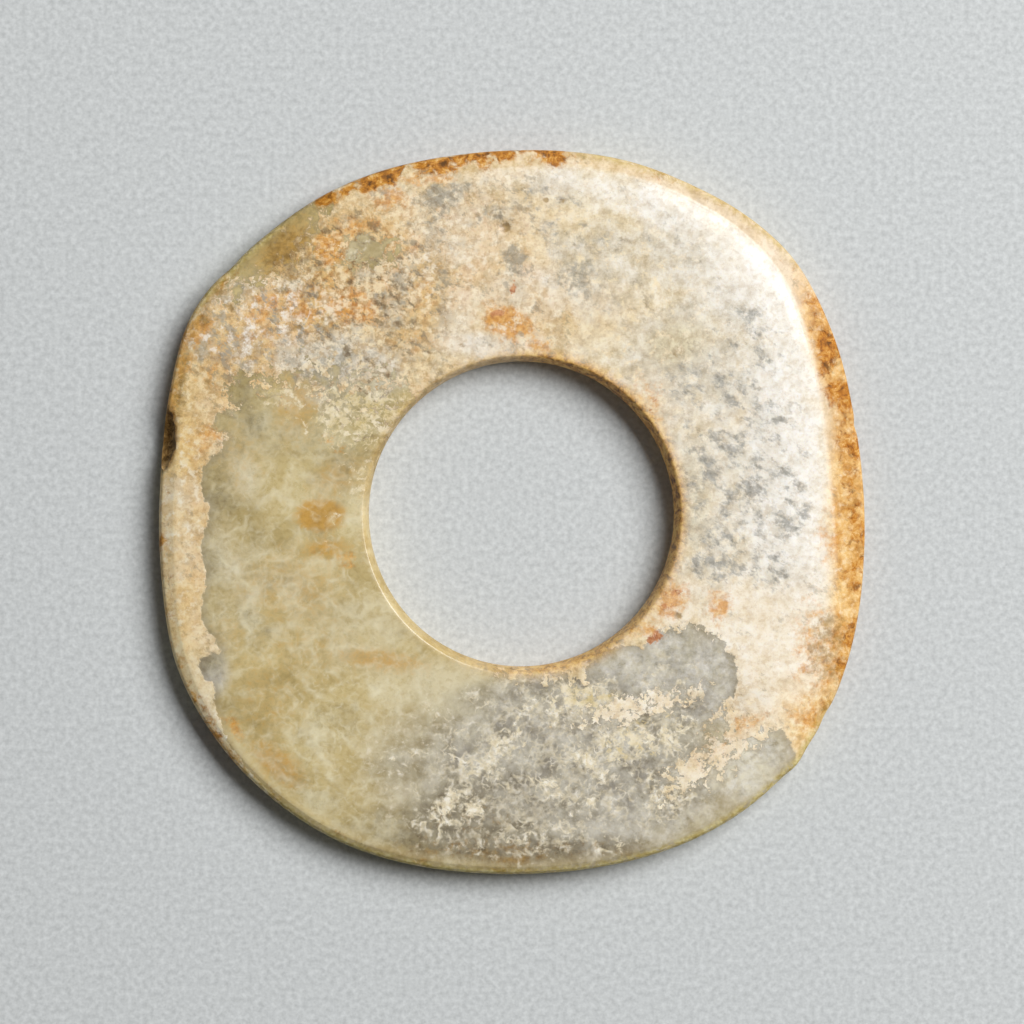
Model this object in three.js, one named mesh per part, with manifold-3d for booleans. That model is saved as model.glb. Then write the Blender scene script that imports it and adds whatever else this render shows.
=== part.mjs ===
// A jade bi: one flat ring of stone, cut from a slab and ground by hand to a rounded square with a round hole.
// Millimetres, +Z up. It lies on its flat underside, and the origin is the middle of its box, on the surface
// that it lies on. +Y runs along the longer way across.
import * as THREE from "three";
import { mergeVertices } from "three/addons/utils/BufferGeometryUtils.js";
import Module from "manifold-3d";

// The outline seen from above: a circle that is a little tall, a little lopsided and clearly squared.
// Each share is of the mean radius, and each bearing, in degrees from +X, is where that shape bulges.
const OUTLINE = {
  meanRadius: 59.7,
  tall: { waves: 2, share: 0.011, bearing: 89 },
  lopsided: { waves: 3, share: 0.005, bearing: -55 },
  squared: { waves: 4, share: 0.0253, bearing: 47.3 },
};

// Where the grinding left the outline proud of that curve or flat: bearing, height out, and half-width in degrees.
const GROUND_SPOTS = [
  { bearing: 17, out: -0.3, spread: 8 },
  { bearing: 42, out: 0.4, spread: 5 },
  { bearing: 62, out: -0.45, spread: 6 },
  { bearing: 131, out: -0.5, spread: 8 },
  { bearing: 148, out: 1.0, spread: 6 },
  { bearing: 174, out: -0.45, spread: 9 },
  { bearing: 204, out: 0.65, spread: 7 },
  { bearing: 231, out: -0.35, spread: 7 },
];

// The slab's thickness, and how it thins towards the rim on both faces: a face rolls over, meets the bevel at an
// arris, and the bevel runs down to a rim that is rounded like a bullnose. A wider bevel leaves a thinner rim.
const SLAB = {
  thickness: 6,
  rollWidth: 8, // the face rolls over this far inside the bevel
  arrisHalf: 2.38, // half the thickness at the arris, at no bevel
  arrisClimb: 0.036, // and how much more for each millimetre of bevel
  edgeHalf: 2.25, // half the thickness at the top of the bullnose, at no bevel
  edgeThins: 0.27, // and how much less for each millimetre of bevel
  edgeDepth: 0.8, // the bullnose is an ellipse this deep
  edgeTurn: 70, // and this many degrees of it show before the bevel begins
};

// The bevel around the rim, wide where the edge was ground back and narrow elsewhere.
const BEVEL = {
  width: 1.3,
  wider: [
    { bearing: 8, by: 4.2, spread: 28 },
    { bearing: 97, by: 1.7, spread: 20 },
    { bearing: 178, by: 1.2, spread: 25 },
  ],
};

// The hole, drilled from both faces so that it is narrowest half-way through. The drill leaned a little, so the
// upper mouth is wider on the leaning side and the lower mouth on the other.
const HOLE = {
  x: 1.4,
  y: -0.2,
  throatRadius: 24.8,
  flare: 0.5, // how much wider it is where it meets each face
  lean: { by: 0.25, bearing: -55 },
  lipRound: 0.7,
};

// The flake lost from the upper edge on the left, as the scoop that it left.
const FLAKE = {
  bearing: 168,
  length: 11,
  depth: 5.2,
  height: 5.2,
  turn: 9, // degrees out of line with the rim, so that the scar deepens to a step at its lower end
  outside: 0.4, // the scoop's middle lies this far outside the rim
  above: 2.3, // and this far above the middle of the slab
};

const STEPS = { around: 120, roll: 6, bullnose: 3, scoopAround: 32, scoopUp: 16 };

const MIDDLE = SLAB.thickness / 2;
const radians = THREE.MathUtils.degToRad;

// A smooth bump around a bearing: 1 there, fading over its spread, the short way round.
function bump(angle, bearing, spread) {
  const turn = THREE.MathUtils.euclideanModulo(angle - radians(bearing) + Math.PI, 2 * Math.PI) - Math.PI;
  return Math.exp(-0.5 * (turn / radians(spread)) ** 2);
}

// How far the rim is from the outline's own centre, in the direction of angle.
function rimRadius(angle) {
  const { meanRadius, ...waves } = OUTLINE;
  let radius = meanRadius;
  for (const { waves: count, share, bearing } of Object.values(waves)) {
    radius += meanRadius * share * Math.cos(count * (angle - radians(bearing)));
  }
  for (const spot of GROUND_SPOTS) radius += spot.out * bump(angle, spot.bearing, spot.spread);
  return radius;
}

function bevelWidth(angle) {
  return BEVEL.wider.reduce((width, w) => width + w.by * bump(angle, w.bearing, w.spread), BEVEL.width);
}

// How far in from the rim the bullnose reaches when it has turned this many degrees.
function edgeInset(turn) {
  return SLAB.edgeDepth * (1 - Math.cos(radians(turn)));
}

// Half the slab's thickness over a point this far in from the rim.
function halfThickness(inset, bevel) {
  const edgeHalf = SLAB.edgeHalf - SLAB.edgeThins * bevel;
  const arrisHalf = SLAB.arrisHalf + SLAB.arrisClimb * bevel;
  const bevelStart = edgeInset(SLAB.edgeTurn);
  if (inset < bevelStart) {
    const turn = Math.acos(1 - inset / SLAB.edgeDepth);
    return (edgeHalf * Math.sin(turn)) / Math.sin(radians(SLAB.edgeTurn));
  }
  if (inset <= bevel) {
    return THREE.MathUtils.lerp(edgeHalf, arrisHalf, (inset - bevelStart) / (bevel - bevelStart));
  }
  const rolled = Math.min((inset - bevel) / SLAB.rollWidth, 1);
  return THREE.MathUtils.lerp(arrisHalf, MIDDLE, 1 - (1 - rolled) ** 2);
}

// The stations along one face in one direction, from the hole's lip out to the rim, as distances in from the rim:
// one step over the flat, and then the roll, the bevel and the bullnose.
function faceInsets(bevel, width) {
  const insets = [width];
  for (let i = STEPS.roll; i >= 0; i--) insets.push(bevel + (SLAB.rollWidth * i) / STEPS.roll);
  for (let i = STEPS.bullnose; i > 0; i--) insets.push(edgeInset((SLAB.edgeTurn * i) / STEPS.bullnose));
  return insets;
}

// One side of the ring's section in one direction from the hole's centre, as distance and height: from the throat
// along the wall, round the lip, over the face and down to the rim. The side is 1 above and -1 below.
function halfSection(angle, side) {
  const rim = rimDistance(angle);
  const bevel = bevelWidth(angle);
  const flare = HOLE.flare + side * HOLE.lean.by * Math.cos(angle - radians(HOLE.lean.bearing));
  const lip = HOLE.throatRadius + flare;
  const diagonal = HOLE.lipRound * Math.SQRT1_2;
  const points = [
    [HOLE.throatRadius + flare / 2, MIDDLE / 2],
    [lip, MIDDLE - HOLE.lipRound],
    [lip + HOLE.lipRound - diagonal, MIDDLE - HOLE.lipRound + diagonal],
  ];
  for (const inset of faceInsets(bevel, rim - lip - HOLE.lipRound)) {
    points.push([rim - inset, halfThickness(inset, bevel)]);
  }
  return points.map(([distance, half]) => new THREE.Vector2(distance, MIDDLE + side * half));
}

// The closed section in that direction. It runs from the throat along the underside to the rim, and back over the
// upper face.
function section(angle) {
  const throat = new THREE.Vector2(HOLE.throatRadius, MIDDLE);
  const edge = new THREE.Vector2(rimDistance(angle), MIDDLE);
  return [throat, ...halfSection(angle, -1), edge, ...halfSection(angle, 1).reverse(), throat];
}

// The distance from the hole's centre to the rim, found by stepping along the ray, because the outline is drawn
// about its own centre.
function rimDistance(angle) {
  let distance = rimRadius(angle);
  for (let i = 0; i < 8; i++) {
    const x = HOLE.x + distance * Math.cos(angle);
    const y = HOLE.y + distance * Math.sin(angle);
    distance += rimRadius(Math.atan2(y, x)) - Math.hypot(x, y);
  }
  return distance;
}

// The ring: a lathe turns the section once round, and each of its columns then takes the section of its own bearing.
function ringGeometry() {
  const columnPoints = section(0).length;
  const ring = new THREE.LatheGeometry(section(0), STEPS.around);
  const position = ring.getAttribute("position");
  for (let column = 0; column <= STEPS.around; column++) {
    const angle = ((column % STEPS.around) / STEPS.around) * 2 * Math.PI;
    section(angle).forEach((point, row) => {
      const x = HOLE.x + point.x * Math.cos(angle);
      const y = HOLE.y + point.x * Math.sin(angle);
      position.setXYZ(column * columnPoints + row, x, y, point.y);
    });
  }
  return ring;
}

// The scoop that takes the flake off: a long flat ellipsoid lying along the rim.
function flakeScoop() {
  const angle = radians(FLAKE.bearing);
  const away = rimRadius(angle) + FLAKE.outside;
  return new THREE.SphereGeometry(0.5, STEPS.scoopAround, STEPS.scoopUp)
    .scale(FLAKE.depth, FLAKE.length, FLAKE.height)
    .rotateZ(angle + radians(FLAKE.turn))
    .translate(away * Math.cos(angle), away * Math.sin(angle), MIDDLE + FLAKE.above);
}

// A closed solid that can be cut, from a geometry.
function solidOf(wasm, geometry) {
  const bare = geometry.clone();
  bare.deleteAttribute("normal");
  bare.deleteAttribute("uv");
  const merged = mergeVertices(bare);
  const vertProperties = merged.getAttribute("position").array;
  const triVerts = new Uint32Array(merged.index.array);
  return new wasm.Manifold(new wasm.Mesh({ numProp: 3, vertProperties, triVerts }));
}

function geometryOf(solid) {
  const mesh = solid.getMesh();
  const geometry = new THREE.BufferGeometry();
  geometry.setAttribute("position", new THREE.BufferAttribute(mesh.vertProperties, mesh.numProp));
  geometry.setIndex(new THREE.BufferAttribute(mesh.triVerts, 1));
  return geometry;
}

// Puts the middle of the outline's box over the origin.
function centred(geometry) {
  geometry.computeBoundingBox();
  const middle = geometry.boundingBox.getCenter(new THREE.Vector3());
  geometry.translate(-middle.x, -middle.y, 0);
  geometry.computeVertexNormals();
  return geometry;
}

const wasm = await Module();
wasm.setup();

const disc = solidOf(wasm, ringGeometry()).subtract(solidOf(wasm, flakeScoop()));
const jade = new THREE.MeshStandardMaterial({ color: 0xcdbd92, roughness: 0.35, metalness: 0 });
const mesh = new THREE.Mesh(centred(geometryOf(disc)), jade);
mesh.name = "jade_disc";

const part = new THREE.Group();
part.add(mesh);

export default part;
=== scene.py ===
import math

import bpy
import numpy as np
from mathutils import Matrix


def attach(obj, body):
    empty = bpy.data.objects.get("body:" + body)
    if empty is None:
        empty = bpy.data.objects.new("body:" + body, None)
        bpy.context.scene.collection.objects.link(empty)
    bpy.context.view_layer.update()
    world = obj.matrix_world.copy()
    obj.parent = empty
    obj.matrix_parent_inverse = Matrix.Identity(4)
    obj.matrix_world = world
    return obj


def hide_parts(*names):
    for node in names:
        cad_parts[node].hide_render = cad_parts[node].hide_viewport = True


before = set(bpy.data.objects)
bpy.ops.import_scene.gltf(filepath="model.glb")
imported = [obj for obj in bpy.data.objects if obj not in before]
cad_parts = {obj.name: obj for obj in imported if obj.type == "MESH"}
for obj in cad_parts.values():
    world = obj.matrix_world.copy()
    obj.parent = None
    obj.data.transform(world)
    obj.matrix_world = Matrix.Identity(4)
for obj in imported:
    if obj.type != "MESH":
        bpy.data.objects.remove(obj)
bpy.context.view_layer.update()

mm = 0.001
print("frame loaded")


# the ring of stone, in millimetres and degrees
stone = {
    "thickness": 6.0,
    "roll": 8.0,              # the faces roll over this far inside the bevel
    "bevel": 1.3,             # the bevel's width where it is narrow
    "arrisHalf": 2.38,        # half the thickness where the roll meets the bevel
    "arrisClimb": 0.036,      # and how much more for each millimetre of bevel
    "edgeHalf": 2.25,         # half the thickness where the bevel meets the rounded rim
    "edgeThins": 0.27,        # and how much less for each millimetre of bevel
    "edgeDepth": 0.8,         # the rounded rim is an ellipse this deep
    "edgeTurn": 70,           # and this many degrees of it show
    "widerBevel": [(8, 4.2, 28), (97, 1.7, 20), (178, 1.2, 25)],         # bearing, by, spread
    "radius": 59.7,
    "waves": [(2, 0.011, 89), (3, 0.005, -55), (4, 0.0253, 47.3)],       # how many, share, bearing
    "spots": [(17, -0.3, 8), (42, 0.4, 5), (62, -0.45, 6), (131, -0.5, 8), (148, 1.0, 6),
              (174, -0.45, 9), (204, 0.65, 7), (231, -0.35, 7)],         # bearing, out, spread
    "nicks": [(-41.5, 0.45, 1.6), (-33, -0.25, 1.2), (14.3, -0.25, 0.7), (139, -0.25, 1.5)],
    "holeX": 1.4, "holeY": -0.2,
    "throat": 24.8,           # the hole's radius where it is narrowest
    "flare": 0.5,             # how much wider it is at each face
    "lean": 0.25, "leanBearing": -55,         # and more so on this side above, on the other below
    "lipRound": 0.7, "lipShape": 1.7,
}
middle = stone["thickness"] / 2
edgeInset = stone["edgeDepth"] * (1 - math.cos(math.radians(stone["edgeTurn"])))      # the bevel starts here
near = 0.001        # what is closer than this, in millimetres, is at the same place


def bump(angle, bearing, spread):
    turn = (angle - math.radians(bearing) + math.pi) % (2 * math.pi) - math.pi
    return np.exp(-0.5 * (turn / math.radians(spread)) ** 2)


def rimRadius(angle, spots):
    radius = np.full_like(angle, stone["radius"])
    for count, share, bearing in stone["waves"]:
        radius += stone["radius"] * share * np.cos(count * (angle - math.radians(bearing)))
    for bearing, out, spread in spots:
        radius += out * bump(angle, bearing, spread)
    return radius


def outlineMiddle():
    angle = np.linspace(-math.pi, math.pi, 1441)         # every quarter of a degree
    radius = rimRadius(angle, stone["spots"])
    x, y = radius * np.cos(angle), radius * np.sin(angle)
    return (x.min() + x.max()) / 2, (y.min() + y.max()) / 2


shiftX, shiftY = outlineMiddle()        # the frame's origin is the middle of the outline's box
holeX, holeY = stone["holeX"] - shiftX, stone["holeY"] - shiftY
allSpots = stone["spots"] + stone["nicks"]


def rimDistance(angle):
    # from the hole's centre out to the rim, found by stepping along the ray
    distance = rimRadius(angle, allSpots)
    for _ in range(8):
        x = stone["holeX"] + distance * np.cos(angle)
        y = stone["holeY"] + distance * np.sin(angle)
        distance += rimRadius(np.arctan2(y, x), allSpots) - np.hypot(x, y)
    return distance


def bevelWidth(angle):
    return stone["bevel"] + sum(by * bump(angle, at, spread) for at, by, spread in stone["widerBevel"])


def fromRim(x, y):
    # how far in from the rim a point of the frame lies
    x, y = x + shiftX, y + shiftY
    return rimRadius(np.arctan2(y, x), allSpots) - np.hypot(x, y)


def coordinates(piece):
    places = np.empty(len(piece.data.vertices) * 3)
    piece.data.vertices.foreach_get("co", places)
    return places.reshape(-1, 3) / mm


def setCoordinates(piece, places):
    piece.data.vertices.foreach_set("co", (places * mm).ravel())
    piece.data.update()


def applyModifier(piece, kind, **settings):
    modifier = piece.modifiers.new(kind.lower(), kind)
    for name, value in settings.items():
        setattr(modifier, name, value)
    bpy.context.view_layer.objects.active = piece
    bpy.ops.object.modifier_apply(modifier=modifier.name)


# the round blank that the ring is ground from: three radii, and how many steps each part of it has
blank = {"around": 152, "arris": 54.0, "edge": 56.5, "rim": 57.5, "faceSteps": 16, "bevelSteps": 2,
         "edgeSteps": 2, "underSteps": 8}
edgeShare = 0.6        # half its thickness at the edge, as a share of that at the arris


def blankHalf(faceSteps):
    # one side of the blank's section, as radius and height over the middle, from the throat out to the rim
    lip = stone["throat"] + stone["flare"]
    diagonal = stone["lipRound"] * math.sqrt(0.5)
    faceStart = lip + stone["lipRound"]
    half = [(stone["throat"] + stone["flare"] / 2, middle / 2),
            (lip, middle - stone["lipRound"]),
            (lip + stone["lipRound"] - diagonal, middle - stone["lipRound"] + diagonal),
            (faceStart, middle)]
    for step in range(1, faceSteps + 1):
        half.append((faceStart + (blank["arris"] - faceStart) * step / faceSteps, middle))
    for step in range(1, blank["bevelSteps"] + 1):
        share = step / blank["bevelSteps"]
        half.append((blank["arris"] + (blank["edge"] - blank["arris"]) * share,
                     middle * (1 - (1 - edgeShare) * share)))
    for step in range(1, blank["edgeSteps"]):
        share = step / blank["edgeSteps"]
        half.append((blank["edge"] + (blank["rim"] - blank["edge"]) * share,
                     middle * edgeShare * (1 - share)))
    return half


def blankStations():
    # the whole section, from the throat over the top to the rim and back underneath
    stations = [(stone["throat"], middle)]
    stations += [(radius, middle + height) for radius, height in blankHalf(blank["faceSteps"])]
    stations += [(blank["rim"], middle)]
    stations += [(radius, middle - height) for radius, height in reversed(blankHalf(blank["underSteps"]))]
    return stations + [(stone["throat"], middle)]


def addBlank(name):
    stations = blankStations()
    radius, height = stations[0]
    centre = (holeX * mm, holeY * mm, height * mm)
    bpy.ops.object.select_all(action="DESELECT")
    bpy.ops.mesh.primitive_circle_add(vertices=blank["around"], radius=radius * mm, location=centre)
    ring = bpy.context.object
    ring.name = name
    bpy.ops.object.transform_apply(location=True, rotation=False, scale=False)
    bpy.ops.object.mode_set(mode="EDIT")
    bpy.ops.mesh.select_all(action="SELECT")
    for nextRadius, nextHeight in stations[1:]:
        grow = nextRadius / radius
        bpy.ops.mesh.extrude_edges_move()
        bpy.ops.transform.resize(value=(grow, grow, 1), center_override=centre)
        bpy.ops.transform.translate(value=(0, 0, (nextHeight - height) * mm))
        radius, height = nextRadius, nextHeight
        centre = (holeX * mm, holeY * mm, height * mm)
    bpy.ops.mesh.select_all(action="SELECT")
    bpy.ops.mesh.remove_doubles(threshold=10 * near * mm)      # the last circle lies on the first
    bpy.ops.mesh.normals_make_consistent(inside=False)
    bpy.ops.object.mode_set(mode="OBJECT")
    applyModifier(ring, "SUBSURF", subdivision_type="SIMPLE", levels=2, render_levels=2)
    return ring


def halfThickness(inset, bevel):
    edge = stone["edgeHalf"] - stone["edgeThins"] * bevel
    arris = stone["arrisHalf"] + stone["arrisClimb"] * bevel
    turn = np.arccos(1 - np.clip(inset, 0, edgeInset) / stone["edgeDepth"])
    rounded = edge * np.sin(turn) / math.sin(math.radians(stone["edgeTurn"]))
    slope = edge + (arris - edge) * (inset - edgeInset) / (bevel - edgeInset)
    rolled = np.clip((inset - bevel) / stone["roll"], 0, 1)
    face = arris + (middle - arris) * (1 - (1 - rolled) ** 2)
    return np.where(inset < edgeInset, rounded, np.where(inset < bevel, slope, face))


def grindToShape(ring):
    # every vertex of the round blank goes to its place in the section of its own bearing
    places = coordinates(ring)
    x, y = places[:, 0] - holeX, places[:, 1] - holeY
    angle, out = np.arctan2(y, x), np.hypot(x, y)
    above = places[:, 2] - middle
    side = np.where(above > near, 1, np.where(above < -near, -1, 0))
    rim, bevel = rimDistance(angle), bevelWidth(angle)

    flare = stone["flare"] + side * stone["lean"] * np.cos(angle - math.radians(stone["leanBearing"]))
    climb = (np.clip((out - stone["throat"]) / stone["flare"], 0, 1)
             + np.clip((out - stone["throat"] - stone["flare"]) / stone["lipRound"], 0, 1)) * math.pi / 4
    wall = stone["throat"] + (flare + stone["lipRound"]) * (1 - np.cos(climb) ** (2 / stone["lipShape"]))
    wallHeight = middle + side * middle * np.sin(climb) ** (2 / stone["lipShape"])

    blankStart = stone["throat"] + stone["flare"] + stone["lipRound"]
    start = stone["throat"] + flare + stone["lipRound"]
    across = np.clip((out - blankStart) / (blank["arris"] - blankStart), 0, 1)
    inset = rim - (start + across * (rim - bevel - start))
    down = np.clip((out - blank["arris"]) / (blank["edge"] - blank["arris"]), 0, 1)
    inset = np.where(out > blank["arris"], bevel + down * (edgeInset - bevel), inset)
    last = np.clip((blank["rim"] - out) / (blank["rim"] - blank["edge"]), 0, 1)
    turned = stone["edgeDepth"] * (1 - np.cos(np.radians(stone["edgeTurn"] * last)))
    inset = np.where(out > blank["edge"], turned, inset)
    height = middle + side * halfThickness(inset, bevel)

    onWall = out <= blankStart + near
    distance = np.where(onWall, wall, rim - inset)
    places[:, 0] = holeX + distance * np.cos(angle)
    places[:, 1] = holeY + distance * np.sin(angle)
    places[:, 2] = np.where(onWall, wallHeight, height)
    setCoordinates(ring, places)


def displace(piece, name, size, strength, **settings):
    # clouds of that size push the surface in and out, both in millimetres
    clouds = bpy.data.textures.new(name, "CLOUDS")
    clouds.noise_scale = size * mm
    applyModifier(piece, "DISPLACE", texture=clouds, strength=strength * mm, texture_coords="LOCAL",
                  **settings)


# the flake lost from the upper edge, as the scoop that takes it off
flake = {
    "bearing": 168, "outside": 0.4, "above": 2.3,        # where the scoop's middle lies
    "length": 11, "depth": 5.2, "height": 5.2,
    "turn": 9,                                           # degrees out of line with the rim
    "roughSize": 1.5, "rough": 0.9,
    "scarReach": 1.16, "scarFade": 0.12,                 # the scar's colour, as shares of the scoop
}


def scoopPlace():
    bearing = math.radians(flake["bearing"])
    away = float(rimRadius(np.array([bearing]), stone["spots"])[0]) + flake["outside"]
    return away * math.cos(bearing) - shiftX, away * math.sin(bearing) - shiftY, middle + flake["above"]


def fromScoop(places):
    # 1 on the scoop's surface and less inside it
    along = math.radians(flake["bearing"] + flake["turn"])
    x, y, z = (places - scoopPlace()).T
    out = (x * math.cos(along) + y * math.sin(along)) / flake["depth"]
    side = (y * math.cos(along) - x * math.sin(along)) / flake["length"]
    return 2 * np.sqrt(out ** 2 + side ** 2 + (z / flake["height"]) ** 2)


def breakFlake(ring):
    bpy.ops.object.select_all(action="DESELECT")
    bpy.ops.mesh.primitive_uv_sphere_add(segments=64, ring_count=32, radius=0.5 * mm,
                                         location=[value * mm for value in scoopPlace()],
                                         rotation=(0, 0, math.radians(flake["bearing"] + flake["turn"])),
                                         scale=(flake["depth"], flake["length"], flake["height"]))
    scoop = bpy.context.object
    bpy.ops.object.transform_apply(location=True, rotation=True, scale=True)
    displace(scoop, "scar", flake["roughSize"], flake["rough"])
    applyModifier(ring, "BOOLEAN", object=scoop, operation="DIFFERENCE", solver="EXACT")
    bpy.data.objects.remove(scoop)


# how hand grinding and weathering left the surface, in millimetres
wear = {
    "grindingSize": 9, "grinding": 0.08,
    "groundFrom": 1.0,           # the grinding's waves start this high up
    "weatheringSize": 1.1, "weathering": 0.03,
    "pitSpread": 1.6,            # how far a pit's soft edge reaches, as a share of its radius
    "sharpFrom": 40,             # edges that turn by more degrees than this stay sharp
}
# x, y, radius and depth of each pit in the upper face
pits = [(-1.1, 46.2, 0.75, 0.5), (-49.3, 20.9, 0.5, 0.3), (-51, 22.6, 0.45, 0.25), (-46, 33.2, 0.7, 0.35),
        (-42.5, 25.3, 0.5, 0.2), (44, -10.8, 0.35, 0.15), (6.3, 53, 0.3, 0.12), (5.6, 50.6, 0.4, 0.15),
        (8.2, 50.4, 0.35, 0.12), (-35, 29.8, 0.6, 0.2), (-20, 37.5, 0.5, 0.2), (-39.5, 31.5, 0.45, 0.2),
        (-15.5, 45, 0.4, 0.2), (43.5, -24.8, 0.3, 0.15), (26.8, -16.8, 0.4, 0.2), (-8, 27, 0.3, 0.1),
        (2.6, 27.2, 0.4, 0.15), (-22, 31, 0.4, 0.15)]


def wearSurface(ring):
    upper = ring.vertex_groups.new(name="upper")
    heights = coordinates(ring)[:, 2]
    upper.add([int(i) for i in np.flatnonzero(heights > wear["groundFrom"])], 1.0, "REPLACE")
    displace(ring, "grinding", wear["grindingSize"], wear["grinding"], vertex_group="upper")
    displace(ring, "weathering", wear["weatheringSize"], wear["weathering"])
    ring.vertex_groups.clear()


def pressPits(ring):
    places = coordinates(ring)
    for atX, atY, radius, depth in pits:
        away = np.hypot(places[:, 0] - atX, places[:, 1] - atY)
        share = np.clip(1 - away / (radius * wear["pitSpread"]), 0, 1)
        places[:, 2] -= np.where(places[:, 2] > middle, depth * share * share * (3 - 2 * share), 0)
    setCoordinates(ring, places)


# What lies where on the stone. A patch is x, y, half-length, half-width, turn in degrees and how much.

bare = {       # where the crust is gone, or never grew, and the jade shows
    "left": [(-33, -4, 19.5, 27, 0, 1), (-24, -33, 26, 22, -42, 1), (-32, 12, 17, 9, 12, 1)],
    "bottom": [(2, -43, 30, 17, 0, 1), (20, -48, 26, 12, 20, 1)],
    "lobes": [(28.5, -25.8, 8.2, 7.2, -25, 1), (18, -27, 7, 5.2, 10, 1), (24, -35, 10, 5.6, 25, 1),
              (39.3, -40.6, 6.6, 6.6, -30, 1), (31, -48, 17, 8, 36, 1)],
    "islands": [(-23.5, 42.5, 4.6, 2.6, -5, 1), (-38, 44, 11, 3.6, 45, 1)],
}
creamTongues = [(36, -37.6, 8, 2.3, 38, 1), (29.4, -42.2, 5, 1.9, 38, 1), (20, -31.6, 8.5, 1.5, 14, 1),
                (43, -33, 6, 2.2, -8, 1)]
leftBand = {       # the crust left along the rim on the left: bearings, and its width there
    "bearings": [150, 158, 165, 172, 180, 190, 197, 203, 207, 212, 218, 226, 236, 500],
    "amounts": [10, 9.5, 10.5, 9.0, 8.2, 7.6, 7.0, 6.2, 3.8, 3.4, 1.6, 0.8, 0.2, 0.0],
}
# where the jade reaches into that band
bays = [(-47.2, 5, 3.2, 4.8, 0, 1), (-46.8, -6, 3.6, 5.4, 0, 1), (-46.8, -16, 3.6, 5.4, 5, 1),
        (-48.4, -25.2, 2.4, 2.3, 0, 1), (-45.6, 14.4, 3.0, 2.4, 10, 1), (-43.5, 19.6, 3, 2.6, 30, 1)]
# where the crust's edge is ragged
frayed = [(-28, 24, 22, 14, 0, 1), (-26, 17, 12, 8, 0, 2.6), (0, -30, 16, 5, 0, 1),
          (20, -31, 12, 5, 14, 0.8), (31, -40, 11, 6, 38, 1.2), (30, -20, 8, 5, -30, 0.35),
          (-23.5, 42.5, 10, 8, 0, 0.9), (-38, 42, 14, 8, 48, 0.9)]

body = {       # the tone of the jade itself
    "ashen": [(28, -26, 14, 10, -20, 1), (17, -29, 9, 7, 0, 1), (10, -42, 26, 15, 0, 0.95),
              (40, -41, 10, 9, -30, 0.75), (24, -50, 22, 7, 22, 0.7), (-46, -2, 7, 18, 0, 0.3),
              (-27, 20, 10, 4, 0, 0.5), (-12, -42, 12, 12, 0, 0.25), (-49, -26, 3, 4, 0, 0.9)],
    "deep": [(-48.5, 3, 3.6, 9, 0, 0.6), (-49, -8, 2.4, 4, 0, 0.6), (-49, -24.5, 2.6, 2.4, 0, 0.8),
             (-43.5, 14, 5, 7, 0, 0.55), (-4, -52, 18, 6, 4, 0.75), (-30, -50, 20, 4, -38, 0.35),
             (5, -55, 24, 3, 0, 0.5), (36, -30, 3, 6, 10, 0.35), (-39, 46, 9, 3, 42, 0.7),
             (1, -46, 8, 6, 0, 0.5), (-6, -54, 22, 4.5, 2, 1), (-8, -49, 9, 5, 0, 0.7),
             (-42, -14, 5, 9, 0, 0.4), (43, -43, 5, 6, 0, 0.35), (-30, -36, 7, 5, 0, 0.35),
             (-36, -12, 5, 5, 0, 0.3), (-48, -18, 3, 5, 0, 0.5), (-38, 12, 8, 6, 0, 0.35),
             (-25, 12, 9, 10, 0, 0.55)],
    "umber": [(-18, -42, 6, 3, 0, 0.35), (-8, -49, 13, 5, 8, 0.8), (0, -55, 24, 2.4, 0, 0.7),
              (4, -38, 5, 3, 0, 0.3)],
    "pale": [(-12, -28, 12, 5, -10, 0.8), (-24, -20, 9, 7, 0, 0.5), (-28, 3, 8, 5, 0, 0.35),
             (-31, -14, 6, 8, 0, 0.4), (-16, -38, 12, 6, 20, 0.2), (-40, -8, 8, 4, 20, 0.25),
             (39, -40, 6, 5, 0, 0.4)],
    "ochre": [(-31, -0.5, 3.2, 2.2, 0, 1.7), (-28, 6, 5, 3, 30, 0.5), (-21, -24, 7, 1.8, -8, 0.6),
              (-35, 17, 4, 6, 0, 0.5), (-46, -20, 3, 3, 0, 0.3), (-38, -41, 5, 2.5, -40, 0.7),
              (-34, -22, 9, 6, 0, 0.25), (-40, -30, 6, 9, 0, 0.25), (-30, -6, 4, 2, 0, 0.6),
              (-37, 43, 4, 6, -40, 0.7), (-36, -12, 8, 6, 0, 0.4), (-44, 10, 4, 6, 0, 0.3)],
}

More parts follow.
